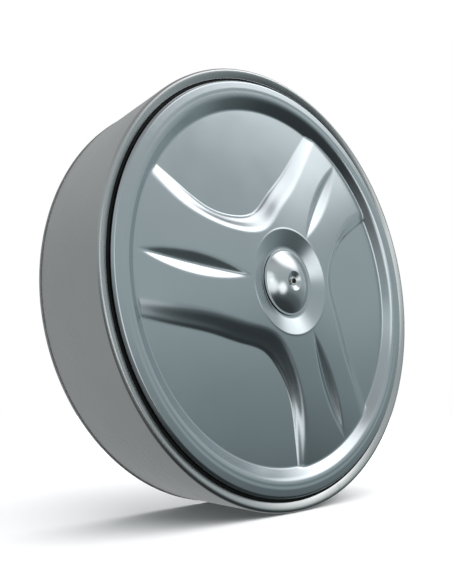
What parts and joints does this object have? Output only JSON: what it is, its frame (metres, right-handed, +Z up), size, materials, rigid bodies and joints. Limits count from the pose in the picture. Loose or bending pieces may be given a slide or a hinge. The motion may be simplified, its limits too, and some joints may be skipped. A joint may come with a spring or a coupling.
{
  "type": "spare tire cover",
  "caption": "Round hard cover for a spare tyre: pressed steel face with three raised spokes, black seal, and a wide hinged band closed by a lockable draw latch.",
  "frame": {"origin": "on the wheel axis, in the middle of the tyre seat inside the band", "axes": "+Z up, +Y along the wheel axis towards the vehicle, the way the tyre leaves; the face looks towards -Y, and +X is to the right seen from the front"},
  "size_m": [0.748, 0.176, 0.7566],
  "materials": {
    "face_steel": "satin-polished stainless",
    "band_steel": "satin stainless",
    "cap_steel": "satin-polished stainless",
    "seal_rubber": "matt black",
    "trim_rubber": "matt black",
    "pad_foam": "closed-cell foam",
    "plate_steel": "pressed stainless",
    "pin_steel": "bright drawn steel",
    "screw_black": "black oxide",
    "nylon": "natural nylon",
    "lock_chrome": "chrome plated",
    "lock_brass": "machined brass"
  },
  "bodies": {
    "root": {"face_plate": "face_steel", "face_seal": "seal_rubber", "sidewall_pads": "pad_foam", "cap_gasket": "seal_rubber", "centre_cap": "cap_steel", "screw_washer": "nylon", "cap_screw": "screw_black", "cap_spacer": "nylon", "hub_backing": "plate_steel", "hub_nut": "pin_steel", "band_left": "band_steel", "edge_trim_left": "trim_rubber", "tread_strip_left": "trim_rubber", "face_clips_left": "plate_steel", "hinge_leaf_left": "plate_steel", "hinge_pin": "pin_steel", "hinge_rivets_left": "pin_steel", "latch_keeper": "plate_steel", "keeper_rivets": "pin_steel", "joint_strap": "plate_steel"},
    "band_right": {"band_right": "band_steel", "edge_trim_right": "trim_rubber", "tread_strip_right": "trim_rubber", "face_clips_right": "plate_steel", "hinge_leaf_right": "plate_steel", "hinge_rivets_right": "pin_steel", "latch_base": "plate_steel", "base_rivets": "pin_steel", "lever_pin": "pin_steel"},
    "latch_lever": {"latch_lever": "plate_steel", "lock_housing": "lock_chrome", "lock_clip": "pin_steel"},
    "draw_bail": {"draw_bail": "pin_steel"},
    "lock_barrel": {"lock_barrel": "lock_brass", "lock_cam": "pin_steel"}
  },
  "joints": [
    {"name": "band_hinge", "type": "hinge", "parent": "root", "child": "band_right", "pos_m": [0, -0.07, 0.3782], "axis": [0, -1, 0], "range_deg": [0, 75]},
    {"name": "latch_swing", "type": "hinge", "parent": "band_right", "child": "latch_lever", "pos_m": [0.13685, -0.065, -0.3531], "axis": [0, 1, 0], "range_deg": [0, 150]},
    {"name": "bail_swing", "type": "hinge", "parent": "latch_lever", "child": "draw_bail", "pos_m": [0.14774, -0.065, -0.34804], "axis": [0, 1, 0], "range_deg": [-150, 0]},
    {"name": "lock_turn", "type": "hinge", "parent": "latch_lever", "child": "lock_barrel", "pos_m": [0.16505, -0.065, -0.34276], "axis": [0.3907, 0, -0.9205], "range_deg": [0, 90]}
  ],
  "couplings": [
    {"joint": "bail_swing", "follows": "latch_swing", "ratio": -1}
  ]
}
